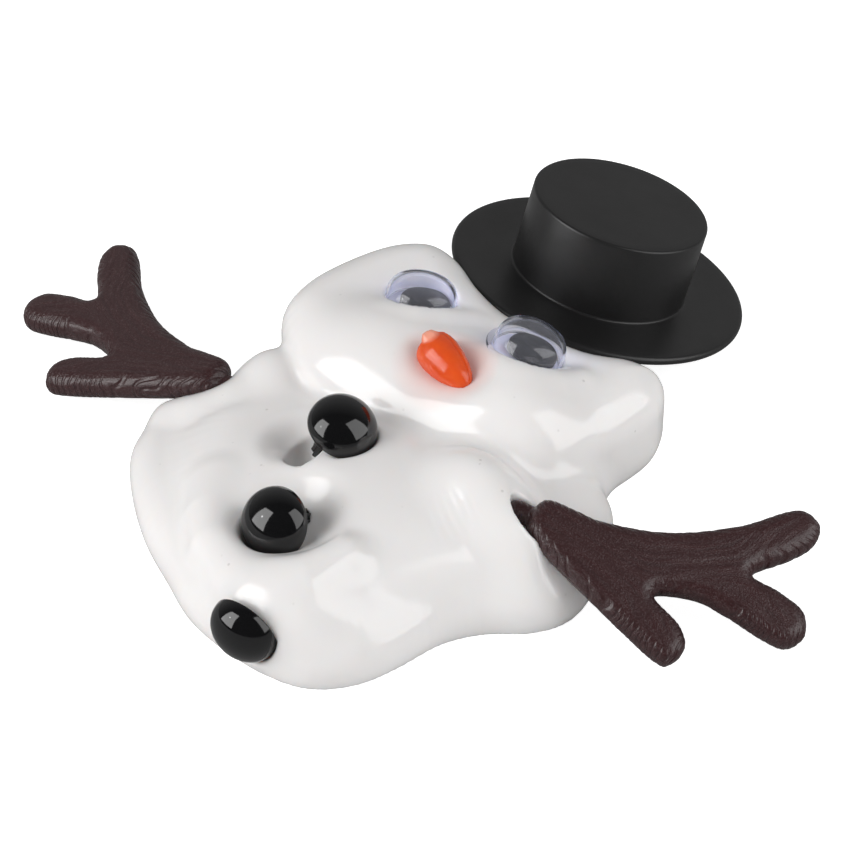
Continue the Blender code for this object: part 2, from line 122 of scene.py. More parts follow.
# Buttons: a dome on a ribbed pin
BUTTON_RADIUS = 4.95
BUTTON_HEIGHT = 4.05
BUTTON_RIM = 0.5
BUTTON_PIN_RADIUS = 2.1
BUTTON_PIN_LENGTH = 7.0
BUTTON_EDGE = 0.25
PIN_NECK = 0.2  # size of the bevel between the dome and its pin
PIN_BEVEL = 0.5
PIN_FLUTES = 12
PIN_FLUTE_DEPTH = 0.3
BUTTONS = {
    "top": {"place": (-1.5, -4.7, 15.9), "axis": (0.443, 0.033, 0.896)},
    "middle": {"place": (1.1, -22.4, 12.6), "axis": (-0.062, -0.838, 0.543)},
    "bottom": {"place": (6.7, -35.9, 6.8), "axis": (0.005, -0.974, -0.228)},
}

# Twig arms: one flat three-pronged moulding and its mirror image, each with a round peg
ARM_THICK = 4.7
ARM_EDGE_ROUND = 2.2
ARM_PEG_RADIUS = 1.6
ARM_PEG_LENGTH = 5.3  # to its blunt point
ARM_PEG_POINT = 2.4  # the tapered part of it
ARM_PEG_PLACE = (0.0, 0.1, -0.55)  # along, across and out of the twig's face, as is its axis
ARM_PEG_AXIS = (-0.943, -0.279, -0.181)
ARM_PEG_BLEND = 0.3
ARM_BOX = (-7.5, -5.5, -3.2), (37.5, 30.5, 3.2)
ARM_VOXEL = 0.26
ARM_TRIM = 0.16  # how far the bark lies inside the plain moulding, to leave room for its own relief
BARK_HEIGHT = 0.03
BARK_CELLS = (0.8, 0.4)
BARK_STRETCH = 0.14  # under 1 draws its bumps out along the grain
GRAIN_SCALE = (0.25, 2.2)  # of the shader's grain, along and across
STROKE_DEPTH = 0.05
STROKE_SPACING = 0.95
STROKE_DIRECTION = (0.80, 0.60)  # along and across the grain
STROKE_WANDER = 0.5
STROKE_WANDER_CELL = 2.0
STROKE_EDGE = (-4.0, 3.9)  # slope and start of the strokes' strength over how flat-on a point faces
GRAIN_REACH = 6.0  # how softly one line of the grain gives way to the next
GRAIN_SHIFT = 3.0  # from one line's start to the next's, so that their patterns differ
ARM_OUTLINE = (
    (-1.1, 3.0), (2.5, 4.6), (6.1, 6.3), (12.6, 11.6), (18.2, 19.4), (21.2, 26.2),
    (23.2, 28.2), (26.0, 28.0), (27.3, 25.2), (26.4, 21.0), (24.6, 15.9),
    (28.4, 16.8), (32.8, 17.2), (35.4, 14.8), (34.8, 11.6), (31.8, 10.2),
    (26.5, 9.0), (22.0, 7.4), (18.0, 3.6),
    (23.0, 3.2), (25.8, 1.6), (26.2, -1.3), (24.0, -3.0),
    (12.0, -3.3), (1.8, -3.2), (-0.9, -1.9), (-1.9, 1.2),
)
ARM_GRAIN = (  # the lines that the grain follows
    ((0.0, 0.0), (12.0, 3.0)), ((12.0, 3.0), (22.0, 12.0)), ((12.0, 2.0), (24.0, 0.2)),
    ((22.0, 12.0), (24.2, 26.0)), ((22.0, 12.0), (33.0, 14.0)),
)
ARMS = {
    "right": {
        "place": (28.6, -0.5, 12.3),
        "along": (0.923, -0.075, -0.378),
        "face": (0.410, -0.250, 0.877),
    },
    "left": {
        "place": (-27.9, -0.2, 8.6),
        "along": (-0.916, -0.336, -0.2205),
        "face": (-0.211, -0.166, 0.963),
    },
}

# Putty: outlines are seen from above, heights are over the floor. A slab is its lowest height, its highest
# height and the rounding of its edges.
PUTTY_BOX = (-42.0, -46.0, -1.0), (46.0, 48.0, 28.0)
PUTTY_VOXEL = 0.37
BODY_SLAB = (-1.8, 6.5, 4.1)
BODY_OUTLINE = (
    (36.2, -1.5), (35.2, 4.0), (33.0, 10.0), (28.5, 15.5), (22.0, 21.0), (10.0, 23.0), (-8.0, 21.0),
    (-19.0, 14.0),
    (-25.5, 7.0), (-30.4, 0.5), (-32.6, -7.5), (-31.4, -14.5), (-26.5, -20.5), (-19.0, -26.5),
    (-11.5, -30.5), (-5.0, -34.0), (2.5, -35.8), (10.0, -36.2), (16.0, -34.8), (20.4, -30.4),
    (22.9, -24.5), (24.4, -18.2), (27.5, -12.5), (32.1, -9.0), (35.2, -5.6),
)
MOUND_SLAB = (-6.0, 12.0, 8.5)
MOUND_BLEND = 7.0
MOUND_OUTLINE = (
    (31.5, 0.0), (28.0, 6.0), (22.0, 10.0), (10.0, 10.0), (-8.0, 9.0), (-20.5, 3.0), (-24.5, -7.0),
    (-20.5, -17.0), (-14.5, -23.5), (-8.0, -28.0), (-1.5, -31.0), (6.0, -32.0), (13.0, -31.5), (18.0, -28.0),
    (20.5, -21.0), (22.5, -15.0), (27.0, -10.0), (31.0, -6.0),
)
HEAD_TOP = 17.0  # over the snowman's middle line
HEAD_SLOPE_LEFT = 0.08  # rise of the head's top to the left, for each millimetre
HEAD_SLOPE_RIGHT = 0.03  # its fall to the right
HEAD_DEPTH = 18.0
HEAD_EDGE_ROUND = 6.5
HEAD_OUTLINE = (
    (27.6, 25.5), (27.4, 30.0), (25.0, 34.0), (20.0, 34.0), (14.0, 31.5), (6.0, 31.0), (0.0, 31.5),
    (-6.0, 33.5), (-12.0, 36.5), (-17.0, 36.5), (-21.5, 32.5), (-24.5, 25.5), (-26.0, 17.0), (-24.0, 10.0),
    (-16.0, 5.0), (-8.0, 3.0), (2.0, 2.0), (9.0, 3.5), (15.0, 6.8), (22.0, 11.5), (26.0, 18.0),
)
NECK_BLEND = 1.6  # of the head with the body, on the left
NECK_BLEND_GROWTH = 0.1  # its growth for each millimetre to the right
NECK_BLEND_END = 20.0  # where it stops growing
LOBES = (
    # name, centre, radii, yaw in degrees, blend with what comes before; the lists below are in this order too
    ("belly", (5.0, -7.0, 7.0), (20.0, 17.0, 8.0), 0, 4.0),
    ("right_shoulder", (26.2, 8.0, 5.0), (6.2, 7.0, 5.0), 0, 3.0),
    ("right_arm_root", (18.0, -1.0, 8.7), (8.7, 6.5, 9.0), -10, 4.0),
    ("right_peg_root", (25.3, -3.0, 8.4), (6.0, 4.5, 6.2), 0, 3.0),
    ("left_shoulder", (-20.3, 4.3, 5.0), (6.6, 7.0, 8.2), 0, 4.0),
    ("feet", (7.5, -28.5, 6.5), (9.0, 8.0, 6.5), 0, 3.0),
)
RIDGES = (
    # name, the points it runs through, its radius, blend
    ("left_arm_root", ((-30.0, -7.0, 4.0), (-26.8, -5.8, 5.8), (-23.0, -2.6, 7.4)), 2.8, 3.0),
    ("left_hip", ((-12.5, -18.0, 8.5), (-9.5, -23.0, 9.0), (-5.5, -27.2, 9.0), (0.5, -29.8, 8.5)), 3.0, 3.0),
    ("right_hip", ((5.0, -31.0, 9.3), (9.8, -27.0, 11.0), (12.0, -21.5, 11.8)), 2.4, 3.0),
)
FACE_LOBES = (
    ("face", (2.0, 15.0, 10.0), (22.0, 11.0, 9.5), 0, 3.0),
    ("left_cheek", (-8.0, 12.5, 10.0), (13.0, 9.0, 9.6), 0, 4.0),
    ("right_cheek", (12.0, 13.5, 10.0), (12.0, 9.5, 10.5), 0, 4.0),
)
LID_RIDGES = (
    ("left_eye",
     ((-13.8, 16.4, 14.2), (-10.0, 16.9, 16.8), (-6.1, 18.4, 17.7), (-3.4, 20.6, 17.0), (-1.0, 23.2, 15.4)),
     1.8, 2.5),
    ("right_eye",
     ((7.6, 16.2, 17.3), (10.5, 15.2, 18.2), (12.5, 15.4, 18.4), (14.8, 16.6, 17.6), (17.2, 19.2, 16.5),
      (18.3, 22.5, 15.2)),
     1.8, 2.5),
)
DENTS = (
    ("top_button", (-7.4, -7.6, 16.3), (4.8, 5.4, 5.0), 15, 2.5),
    ("top_pin", (-4.8, -8.8, 12.8), (2.7, 4.5, 4.6), 22, 0.5),
    ("middle_button", (1.8, -20.8, 15.2), (6.5, 7.2, 5.0), 0, 3.0),
    ("nose", (5.0, 11.0, 21.8), (6.5, 4.5, 3.5), -20, 2.5),
    ("right_peg", (29.0, -1.2, 13.0), (5.8, 2.7, 3.0), 5, 0.6),
    ("right_peg_mouth", (28.6, 0.9, 15.6), (4.4, 2.6, 2.6), 0, 1.8),
)
BUTTON_SOCKET_GAP = 0.1
BUTTON_SOCKET_BLEND = 0.5
PUTTY_INTO_PIECE = 0.35  # how far the putty's surface runs on inside a piece before it turns down

# Camera and light
CAMERA_TARGET = (-4.64, 17.79, 0.0)
CAMERA_AZIMUTH = 37.0
CAMERA_HEIGHT_ANGLE = 40.0
CAMERA_DISTANCE = 500.0
CAMERA_LENS = 148.76
CAMERA_SENSOR = 36.0
CAMERA_CLIP_START = 0.01
# Lamps are in metres. Each softbox is an upright panel: its two sides are each given by their plan angle off
# the camera and their distance.
SOFTBOXES = {"Softbox left": ((-90.0, 0.58), (-50.0, 0.405)), "Softbox right": ((97.0, 0.58), (47.0, 0.34))}
SOFTBOX_HEIGHTS = (0.05, 0.62)
SOFTBOX_GLOW = {"Softbox left": 4.75, "Softbox right": 2.55}
BULB_AT = (-71.0, 0.47, 0.28)  # plan angle off the camera, distance and height, as for the fill
BULB_SIZE = (0.03, 0.03)
BULB_GLOW = 20.0
FILL_AT = (10.0, 0.6, 0.12)  # a soft lamp by the camera that no gloss shows
FILL_SIZE = (0.5, 0.24)
FILL_GLOW = 1.7
SKY_FOR_DIFFUSE = 0.27
SKY_FOR_CAMERA = 1.0
SKY_BEHIND = 0.3  # what gloss shows of the sky behind the snowman
SKY_BY_CAMERA = 0.02  # and of the sky on the camera's side
SKY_HORIZON = (0.1, 0.75)  # between them, as the cosine of the angle from straight behind the snowman
FLOOR_SHADE = 0.7
FLOOR_SHADE_IN_GLOSS = 0.4
FLOOR_GLOW = 0.85  # seen by the camera alone
FLOOR_REACH = 3000.0
FLOOR_HEIGHT = -0.02

# Looks: a colour is linear RGB, and a pair is the two colours that a cloudy noise moves between. Scales of
# noise are per metre, and the distance of a bump is in millimetres.
PUTTY_COLOURS = (0.822, 0.803, 0.795), (0.836, 0.820, 0.813)
BLUSH_COLOUR = (0.86, 0.45, 0.4)  # the carrot's glow in the putty round it
BLUSH_ALONG = 4.0  # where its middle lies along the carrot
BLUSH_SHARE = 0.5
SPECK_COLOUR = (0.35, 0.33, 0.32)
SPECK_SHARE = 0.35
RIPPLES_AT = (20.0, -8.5, 13.0)  # fine pressed lines beside the right arm
CARROT_COLOURS = (0.67, 0.073, 0.016), (0.73, 0.092, 0.015)
GATE_COLOUR = (0.85, 0.36, 0.25)
TWIG_COLOURS = (0.027, 0.009, 0.0095), (0.044, 0.017, 0.0175)
# pale flecks in the twig's plastic, partly painted glints of light
TWIG_FLECK_AND_GLINT_COLOUR = (0.2, 0.15, 0.155)
TWIG_FLECK_AND_GLINT_SHARE = 0.25
EYE_BACKING_COLOURS = (0.68, 0.68, 0.79), (0.74, 0.74, 0.84)
EYE_DOME_COLOURS = (0.95, 0.955, 1.0), (0.55, 0.62, 0.98)  # from above and at a grazing angle
EYE_DOME_SHADOW = (0.93, 0.94, 1.0)
PUPIL_COLOURS = (0.012, 0.012, 0.014), (0.045, 0.045, 0.05)
WHITE = (1.0, 1.0, 1.0, 1.0)


# ---------------------------------------------------------------- meshes


def mesh_object(name, points, faces, finish, sharp=None):
    mesh = bpy.data.meshes.new(name)
    mesh.from_pydata(np.asarray(points) * MM, [], faces)
    mesh.update()
    mesh.shade_smooth()
    if sharp:
        mesh.set_sharp_from_angle(angle=math.radians(sharp))
    mesh.materials.append(finish)
    obj = bpy.data.objects.new(name, mesh)
    bpy.context.scene.collection.objects.link(obj)
    return obj


def arc(centre, radius, start, end, steps):
    """Points on an arc of a circle, or of an ellipse where the radius is a pair; angles in degrees."""
    across, along = radius if isinstance(radius, tuple) else (radius, radius)
    angles = [math.radians(start + (end - start) * step / steps) for step in range(steps + 1)]
    return [(centre[0] + across * math.cos(a), centre[1] + along * math.sin(a)) for a in angles]


def squared_arc(radius, height, base, steps):
    """A quarter of a squared-off ellipse, from the top on the axis down to the base."""
    points = []
    for step in range(steps + 1):
        angle = math.pi / 2 * (1 - step / steps)
        across = 0.0 if step == 0 else radius * math.cos(angle) ** EYE_DOME_SQUARENESS
        points.append((across, base + height * math.sin(angle) ** EYE_DOME_SQUARENESS))
    return points


def stand(obj, matrix):
    """Moves the object's mesh, so that its own coordinates are the scene's."""
    obj.data.transform(matrix)
    return obj


def turned(name, profile, sides, finish, sharp=35.0, shape=None):
    """A solid of revolution about Z.

    The profile lists (radius, height) pairs down its outer side, from axis to axis. Shape, if given, moves
    its points, which come as rings by sides by 3.
    """
    angles = 2 * np.pi * np.arange(sides) / sides
    rings = np.array([[(r * np.cos(a), r * np.sin(a), h) for a in angles] for r, h in profile[1:-1]])
    if shape:
        rings = shape(rings)
    count = len(rings)
    points = np.vstack([[(0.0, 0.0, profile[0][1])], rings.reshape(-1, 3), [(0.0, 0.0, profile[-1][1])]])
    faces = [(0, 1 + k, 1 + (k + 1) % sides) for k in range(sides)]
    for ring in range(count - 1):
        for k in range(sides):
            a, b = 1 + ring * sides + k, 1 + ring * sides + (k + 1) % sides
            faces.append((a, a + sides, b + sides, b))
    last, start = len(points) - 1, 1 + (count - 1) * sides
    faces += [(last, start + (k + 1) % sides, start + k) for k in range(sides)]
    return mesh_object(name, points, faces, finish, sharp)


def frame_at(place, axis, up=None):
    """A matrix with its origin at the place and its Z along the axis, and its Y as near to up as can be."""
    forward = Vector(axis).normalized()
    turn = forward.to_track_quat("Z", "Y").to_matrix()
    if up:
        side = Vector(up).cross(forward).normalized()
        turn = Matrix((side, forward.cross(side), forward)).transposed()
    return Matrix.Translation(Vector(place) * MM) @ turn.to_4x4()


def lattice_noise(points, cell, seed):
    """Smooth random values from -1 to 1, with bumps about a cell across."""
    table = np.random.default_rng(seed).uniform(-1.0, 1.0, NOISE_TABLE)
    scaled = np.asarray(points) / cell
    low = np.floor(scaled).astype(np.int64)
    part = scaled - low
    part = part * part * (3.0 - 2.0 * part)
    total = np.zeros(len(scaled))
    for corner in range(8):
        step = np.array([corner >> axis & 1 for axis in range(3)])
        near = low + step
        key = near[:, 0] * NOISE_PRIMES[0] ^ near[:, 1] * NOISE_PRIMES[1] ^ near[:, 2] * NOISE_PRIMES[2]
        weight = np.prod(np.where(step, part, 1.0 - part), axis=1)
        total += weight * table[key & NOISE_TABLE - 1]
    return total


# ---------------------------------------------------------------- distance fields
# A field holds, for each point, about how far it lies outside a shape; inside it is negative.

FIELD_OUTSIDE = 5.0  # what it holds beyond its box


def smooth_union(a, b, blend):
    share = np.clip(0.5 + 0.5 * (b - a) / blend, 0.0, 1.0)
    return b + (a - b) * share - blend * share * (1.0 - share)


def smooth_cut(a, b, blend):
    """Shape a without shape b."""
    return -smooth_union(-a, b, blend)


def ellipsoid(grid, centre, radii, yaw):
    """Yaw is in degrees."""
    axes = np.array(Euler((0.0, 0.0, math.radians(yaw))).to_matrix())
    offset = [grid[i] - centre[i] for i in range(3)]
    local = [sum(offset[i] * axes[i][k] for i in range(3)) for k in range(3)]
    scaled = np.sqrt(sum((local[k] / radii[k]) ** 2 for k in range(3)))
    slope = np.sqrt(sum((local[k] / radii[k] ** 2) ** 2 for k in range(3))) + 1e-9
    return scaled * (scaled - 1.0) / slope


def rod(grid, start, end, radius):
    run = np.subtract(end, start)
    offset = [grid[i] - start[i] for i in range(3)]
    share = np.clip(sum(offset[i] * run[i] for i in range(3)) / (run @ run), 0.0, 1.0)
    return np.sqrt(sum((offset[i] - share * run[i]) ** 2 for i in range(3))) - radius


def fold(grid, points, radius):
    """A rod that bends at its inner points."""
    return np.minimum.reduce([rod(grid, start, end, radius) for start, end in zip(points, points[1:])])


def local_to(grid, place, axis):
    """(height along the axis, distance from it) of each point."""
    axis = Vector(axis).normalized()
    offset = [grid[i] - place[i] for i in range(3)]
    height = sum(offset[i] * axis[i] for i in range(3))
    away = np.sqrt(np.maximum(sum(value**2 for value in offset) - height**2, 0.0))
    return height, away


def cap(grid, centre, axis, radius, below):
    """The part of a ball that lies over a plane a little below its centre."""
    height, away = local_to(grid, centre, axis)
    return np.maximum(np.hypot(height, away) - radius, -below - height)


def with_ellipsoids(grid, shape, rows, join):
    """The shape with ellipsoids joined to it, or cut from it, as join says."""
    for _, centre, radii, yaw, blend in rows:
        shape = join(shape, ellipsoid(grid, centre, radii, yaw), blend)
    return shape


def with_ridges(grid, shape, rows):
    for _, points, radius, blend in rows:
        shape = smooth_union(shape, fold(grid, points, radius), blend)
    return shape


def closed_curve(points, steps=5):
    """A smooth closed curve through the points (Catmull-Rom)."""
    found = []
    for i in range(len(points)):
        before, here, after, beyond = (np.array(points[(i + k) % len(points)]) for k in (-1, 0, 1, 2))
        for t in np.arange(steps) / steps:
            found.append(
                0.5 * (2 * here + (after - before) * t + (2 * before - 5 * here + 4 * after - beyond) * t**2
                       + (3 * here - before - 3 * after + beyond) * t**3)
            )
    return found


def outline_distance(x, y, outline):
    nearest = np.full(np.broadcast(x, y).shape, np.inf)
    inside = np.zeros(nearest.shape, bool)
    for start, end in zip(outline, outline[1:] + outline[:1]):
        run = end - start
        dx, dy = x - start[0], y - start[1]
        share = np.clip((dx * run[0] + dy * run[1]) / (run @ run), 0.0, 1.0)
        nearest = np.minimum(nearest, (dx - share * run[0]) ** 2 + (dy - share * run[1]) ** 2)
        if run[1] != 0.0:
            crosses = (start[1] <= y) != (end[1] <= y)
            inside ^= crosses & (dx < dy * run[0] / run[1])
    return np.where(inside, -1.0, 1.0) * np.sqrt(nearest)


def pancake(grid, outline, low, high, edge_round):
    """A flat slab of the outline's shape with rounded edges; low and high may vary over the plan."""
    x, y, z = grid
    across = outline_distance(x, y, closed_curve(outline)) + edge_round
    middle, half = (low + high) / 2, (high - low) / 2
    along = abs(z - middle) - half + edge_round
    outside = np.hypot(np.maximum(across, 0.0), np.maximum(along, 0.0))
    return np.minimum(np.maximum(across, along), 0.0) + outside - edge_round


def surface_mesh(field, box, voxel):
    """Points and quads of a field's zero surface within a box, with the points drawn onto it."""
    low, high = box
    steps = [np.arange(a, b + voxel, voxel) for a, b in zip(low, high)]
    grid = [steps[0][:, None, None], steps[1][None, :, None], steps[2][None, None, :]]
    values = np.broadcast_to(field(grid), [len(s) for s in steps])
    volume = openvdb.FloatGrid(FIELD_OUTSIDE)
    volume.copyFromArray(np.ascontiguousarray(values, np.float32))
    points, quads = volume.convertToQuads(0.0)
    points = np.array(low) + points * voxel
    reach = voxel / 8
    for _ in range(2):
        value = field(list(points.T))
        rise = [field(list((points + reach * axis).T)) - value for axis in np.eye(3)]
        slope = np.stack(rise, axis=1) / reach
        step = value / np.maximum((slope**2).sum(axis=1), 0.2)
        points -= np.clip(step, -voxel, voxel)[:, None] * slope
    return points, quads


# ---------------------------------------------------------------- materials


def material(name, colour, roughness, **values):
    """A Principled material, as (material, its node tree, its shader).

    Values are more of the shader's sockets, by name with _ for spaces.
    """
    made = bpy.data.materials.new(name)
    made.use_nodes = True
    tree = made.node_tree
    shader = tree.nodes["Principled BSDF"]
    shader.inputs["Base Color"].default_value = (*colour, 1.0)
    shader.inputs["Roughness"].default_value = roughness
    for key, value in values.items():
        shader.inputs[key.replace("_", " ")].default_value = value
    return made, tree, shader


def node(tree, kind, inputs=None, **settings):
    made = tree.nodes.new(kind)
    for key, value in settings.items():
        setattr(made, key, value)
    for key, value in (inputs or {}).items():
        made.inputs[key].default_value = value
    return made


def object_coordinates(tree):
    return tree.nodes.new("ShaderNodeTexCoord").outputs["Object"]


def noise(tree, vector, scale, detail=2.0, roughness=0.5):
    made = node(tree, "ShaderNodeTexNoise", {"Scale": scale, "Detail": detail, "Roughness": roughness})
    tree.links.new(vector, made.inputs["Vector"])
    return made.outputs["Fac"]


def ramp(tree, value, low, high, to_low=0.0, to_high=1.0):
    """Runs from to_low, where the value is low, to to_high, where it is high."""
    ends = {"From Min": low, "From Max": high, "To Min": to_low, "To Max": to_high}
    made = node(tree, "ShaderNodeMapRange", ends)
    tree.links.new(value, made.inputs["Value"])
    return made.outputs["Result"]


def mixed_colour(tree, share, a, b):
    """A colour between a and b; each is an output socket or an RGB triple."""
    made = node(tree, "ShaderNodeMix", data_type="RGBA")
    tree.links.new(share, made.inputs["Factor"])
    for key, value in (("A", a), ("B", b)):
        socket = [s for s in made.inputs if s.name == key and s.type == "RGBA"][0]
        if isinstance(value, tuple):
            socket.default_value = (*value, 1.0)
        else:
            tree.links.new(value, socket)
    return [s for s in made.outputs if s.type == "RGBA"][0]


def math_node(tree, operation, a, b):
    made = node(tree, "ShaderNodeMath", operation=operation)
    for key, value in ((0, a), (1, b)):
        if isinstance(value, (int, float)):
            made.inputs[key].default_value = value
        else:
            tree.links.new(value, made.inputs[key])
    return made.outputs[0]


def bump(tree, shader, height, distance, strength=1.0, before=None):
    made = node(tree, "ShaderNodeBump", {"Distance": distance * MM, "Strength": strength})
    tree.links.new(height, made.inputs["Height"])
    if before:
        tree.links.new(before, made.inputs["Normal"])
    tree.links.new(made.outputs["Normal"], shader.inputs["Normal"])
    return made.outputs["Normal"]


def closeness(tree, coordinates, place, near, far):
    """1 within near millimetres of a place, falling to 0 at far."""
    offset = node(tree, "ShaderNodeVectorMath", operation="DISTANCE")
    offset.inputs[1].default_value = tuple(value * MM for value in place)
    tree.links.new(coordinates, offset.inputs[0])
    return ramp(tree, offset.outputs["Value"], near * MM, far * MM, 1.0, 0.0)


def putty_colour(tree, coordinates):
    """White in faint clouds, with a blush round the carrot and a few specks of dust."""
    cloudy = ramp(tree, noise(tree, coordinates, scale=45.0, detail=1.0), 0.3, 0.7)
    colour = mixed_colour(tree, cloudy, *PUTTY_COLOURS)
    middle = [NOSE_PLACE[i] + BLUSH_ALONG * NOSE_AXIS[i] for i in range(3)]
    blush = math_node(tree, "MULTIPLY", closeness(tree, coordinates, middle, near=3.2, far=8.0), BLUSH_SHARE)
    colour = mixed_colour(tree, blush, colour, BLUSH_COLOUR)
    cells = node(tree, "ShaderNodeTexVoronoi", {"Scale": 420.0})
    tree.links.new(coordinates, cells.inputs["Vector"])
    rare = ramp(tree, noise(tree, coordinates, scale=300.0, detail=0.0), 0.62, 0.7)
    specks = ramp(tree, cells.outputs["Distance"], 0.05, 0.12, 1.0, 0.0)
    dust = math_node(tree, "MULTIPLY", math_node(tree, "MULTIPLY", specks, rare), SPECK_SHARE)
    return mixed_colour(tree, dust, colour, SPECK_COLOUR)


def putty_finish():
    made, tree, shader = material(
        "putty", (0.83, 0.82, 0.805), 0.16, Subsurface_Weight=0.25, Subsurface_Scale=0.002, IOR=1.53
    )
    shader.inputs["Subsurface Radius"].default_value = (1.0, 0.75, 0.6)
    coordinates = object_coordinates(tree)
    tree.links.new(putty_colour(tree, coordinates), shader.inputs["Base Color"])
    handled = ramp(tree, noise(tree, coordinates, scale=120.0, detail=2.0), 0.3, 0.7, 0.13, 0.19)
    tree.links.new(handled, shader.inputs["Roughness"])
    swell = noise(tree, coordinates, scale=130.0, detail=1.0)
    wavy = bump(tree, shader, swell, distance=0.10, strength=0.4)
    grit = noise(tree, coordinates, scale=1100.0, detail=2.0)
    fine = bump(tree, shader, grit, distance=0.008, strength=0.5, before=wavy)
    waves = {"Scale": 330.0, "Distortion": 1.2, "Detail": 1.0}
    ripple = node(tree, "ShaderNodeTexWave", waves, bands_direction="DIAGONAL")
    tree.links.new(coordinates, ripple.inputs["Vector"])
    here = closeness(tree, coordinates, RIPPLES_AT, near=1.0, far=5.0)
    pressed = math_node(tree, "MULTIPLY", ripple.outputs["Fac"], here)
    bump(tree, shader, pressed, distance=0.05, strength=0.7, before=fine)
    return made


def hat_finish():
    made, tree, shader = material("hat_plastic", (0.0105, 0.0103, 0.0105), 0.36, IOR=1.5)
    coordinates = object_coordinates(tree)
    worn = noise(tree, coordinates, scale=90.0, detail=5.0, roughness=0.6)
    tree.links.new(ramp(tree, worn, 0.3, 0.7, 0.33, 0.42), shader.inputs["Roughness"])
    bump(tree, shader, noise(tree, coordinates, scale=2600.0, detail=2.0), distance=0.012, strength=0.6)
    return made


def button_finish():
    made, tree, shader = material("button_plastic", (0.0055, 0.0055, 0.006), 0.07, IOR=1.52)
    coordinates = object_coordinates(tree)
    smear = noise(tree, coordinates, scale=260.0, detail=4.0, roughness=0.65)
    tree.links.new(ramp(tree, smear, 0.35, 0.75, 0.05, 0.13), shader.inputs["Roughness"])
    bump(tree, shader, noise(tree, coordinates, scale=1500.0, detail=1.0), distance=0.006, strength=0.5)
    return made


def carrot_finish(gate_place):
    made, tree, shader = material(
        "carrot_plastic", (0.78, 0.105, 0.02), 0.2, Subsurface_Weight=0.3, Subsurface_Scale=0.0012, IOR=1.45
    )
    shader.inputs["Subsurface Radius"].default_value = (1.0, 0.35, 0.2)
    coordinates = object_coordinates(tree)
    cloudy = ramp(tree, noise(tree, coordinates, scale=350.0, detail=3.0), 0.35, 0.65)
    colour = mixed_colour(tree, cloudy, *CARROT_COLOURS)
    gate = closeness(tree, coordinates, gate_place, near=0.9, far=1.6)
    colour = mixed_colour(tree, gate, colour, GATE_COLOUR)
    tree.links.new(colour, shader.inputs["Base Color"])
    bump(tree, shader, noise(tree, coordinates, scale=900.0, detail=3.0), distance=0.03, strength=0.5)
    return made


def twig_finish():
    """Brown plastic with a grain, a pale speckle that is partly flecks in the plastic and partly painted
    glints, and strokes round its edges.

    The point attribute grain holds coordinates that follow the grain. The attribute strokes holds how many
    strokes lie before a point and, twice, how near it is to an edge.
    """
    made, tree, shader = material("twig_plastic", (0.042, 0.018, 0.018), 0.3, IOR=1.5)
    grain = node(tree, "ShaderNodeAttribute", attribute_name="grain").outputs["Vector"]
    stripes = noise(tree, grain, scale=1.0, detail=5.0, roughness=0.62)
    colour = mixed_colour(tree, ramp(tree, stripes, 0.3, 0.7), *TWIG_COLOURS)
    # the pale speckle in the colour is partly flecks in the plastic and partly painted glints
    speckle = noise(tree, object_coordinates(tree), scale=4600.0, detail=2.0)
    pale = math_node(tree, "MULTIPLY", ramp(tree, speckle, 0.5, 0.75), TWIG_FLECK_AND_GLINT_SHARE)
    tree.links.new(mixed_colour(tree, pale, colour, TWIG_FLECK_AND_GLINT_COLOUR), shader.inputs["Base Color"])
    tree.links.new(ramp(tree, stripes, 0.3, 0.7, 0.34, 0.25), shader.inputs["Roughness"])
    fibres = bump(tree, shader, stripes, distance=0.09, strength=0.7)
    grained = bump(tree, shader, speckle, distance=0.055, strength=0.9, before=fibres)
    strokes = node(tree, "ShaderNodeAttribute", attribute_name="strokes").outputs["Vector"]
    stroke = tree.nodes.new("ShaderNodeSeparateXYZ")
    tree.links.new(strokes, stroke.inputs["Vector"])
    turns = math_node(tree, "MULTIPLY", stroke.outputs["X"], 2 * math.pi)
    wave = math_node(tree, "SINE", turns, 0.0)
    lines = math_node(tree, "MULTIPLY", ramp(tree, wave, 0.1, 0.9, 1.0, 0.0), stroke.outputs["Y"])
    bump(tree, shader, lines, distance=0.14, strength=0.9, before=grained)
    return made


def eye_backing_finish():
    made, tree, shader = material("eye_backing", (0.7, 0.7, 0.8), 0.35)
    coordinates = object_coordinates(tree)
    cloudy = ramp(tree, noise(tree, coordinates, scale=300.0, detail=2.0), 0.35, 0.65)
    tree.links.new(mixed_colour(tree, cloudy, *EYE_BACKING_COLOURS), shader.inputs["Base Color"])
    return made


def eye_dome_finish():
    """Clear plastic that lets the lamps' light through to the pupil."""
    made, tree, shader = material("eye_dome", (0.93, 0.94, 1.0), 0.02, Transmission_Weight=0.984, IOR=1.38)
    smear = noise(tree, object_coordinates(tree), scale=200.0, detail=3.0)
    tree.links.new(ramp(tree, smear, 0.4, 0.8, 0.01, 0.08), shader.inputs["Roughness"])
    facing = node(tree, "ShaderNodeLayerWeight", {"Blend": 0.5}).outputs["Facing"]
    colour = mixed_colour(tree, ramp(tree, facing, 0.45, 1.0), *EYE_DOME_COLOURS)
    tree.links.new(colour, shader.inputs["Base Color"])
    clear = node(tree, "ShaderNodeBsdfTransparent", {"Color": (*EYE_DOME_SHADOW, 1.0)})
    either = tree.nodes.new("ShaderNodeMixShader")
    tree.links.new(tree.nodes.new("ShaderNodeLightPath").outputs["Is Shadow Ray"], either.inputs["Fac"])
    tree.links.new(shader.outputs["BSDF"], either.inputs[1])
    tree.links.new(clear.outputs["BSDF"], either.inputs[2])
    tree.links.new(either.outputs["Shader"], tree.nodes["Material Output"].inputs["Surface"])
    return made


def pupil_finish():
    made, tree, shader = material("pupil", (0.02, 0.02, 0.022), 0.3, IOR=1.5)
    dusty = noise(tree, object_coordinates(tree), scale=1500.0, detail=3.0)
    colour = mixed_colour(tree, ramp(tree, dusty, 0.45, 0.75), *PUPIL_COLOURS)
    tree.links.new(colour, shader.inputs["Base Color"])
    bump(tree, shader, dusty, distance=0.02, strength=0.4)
    return made


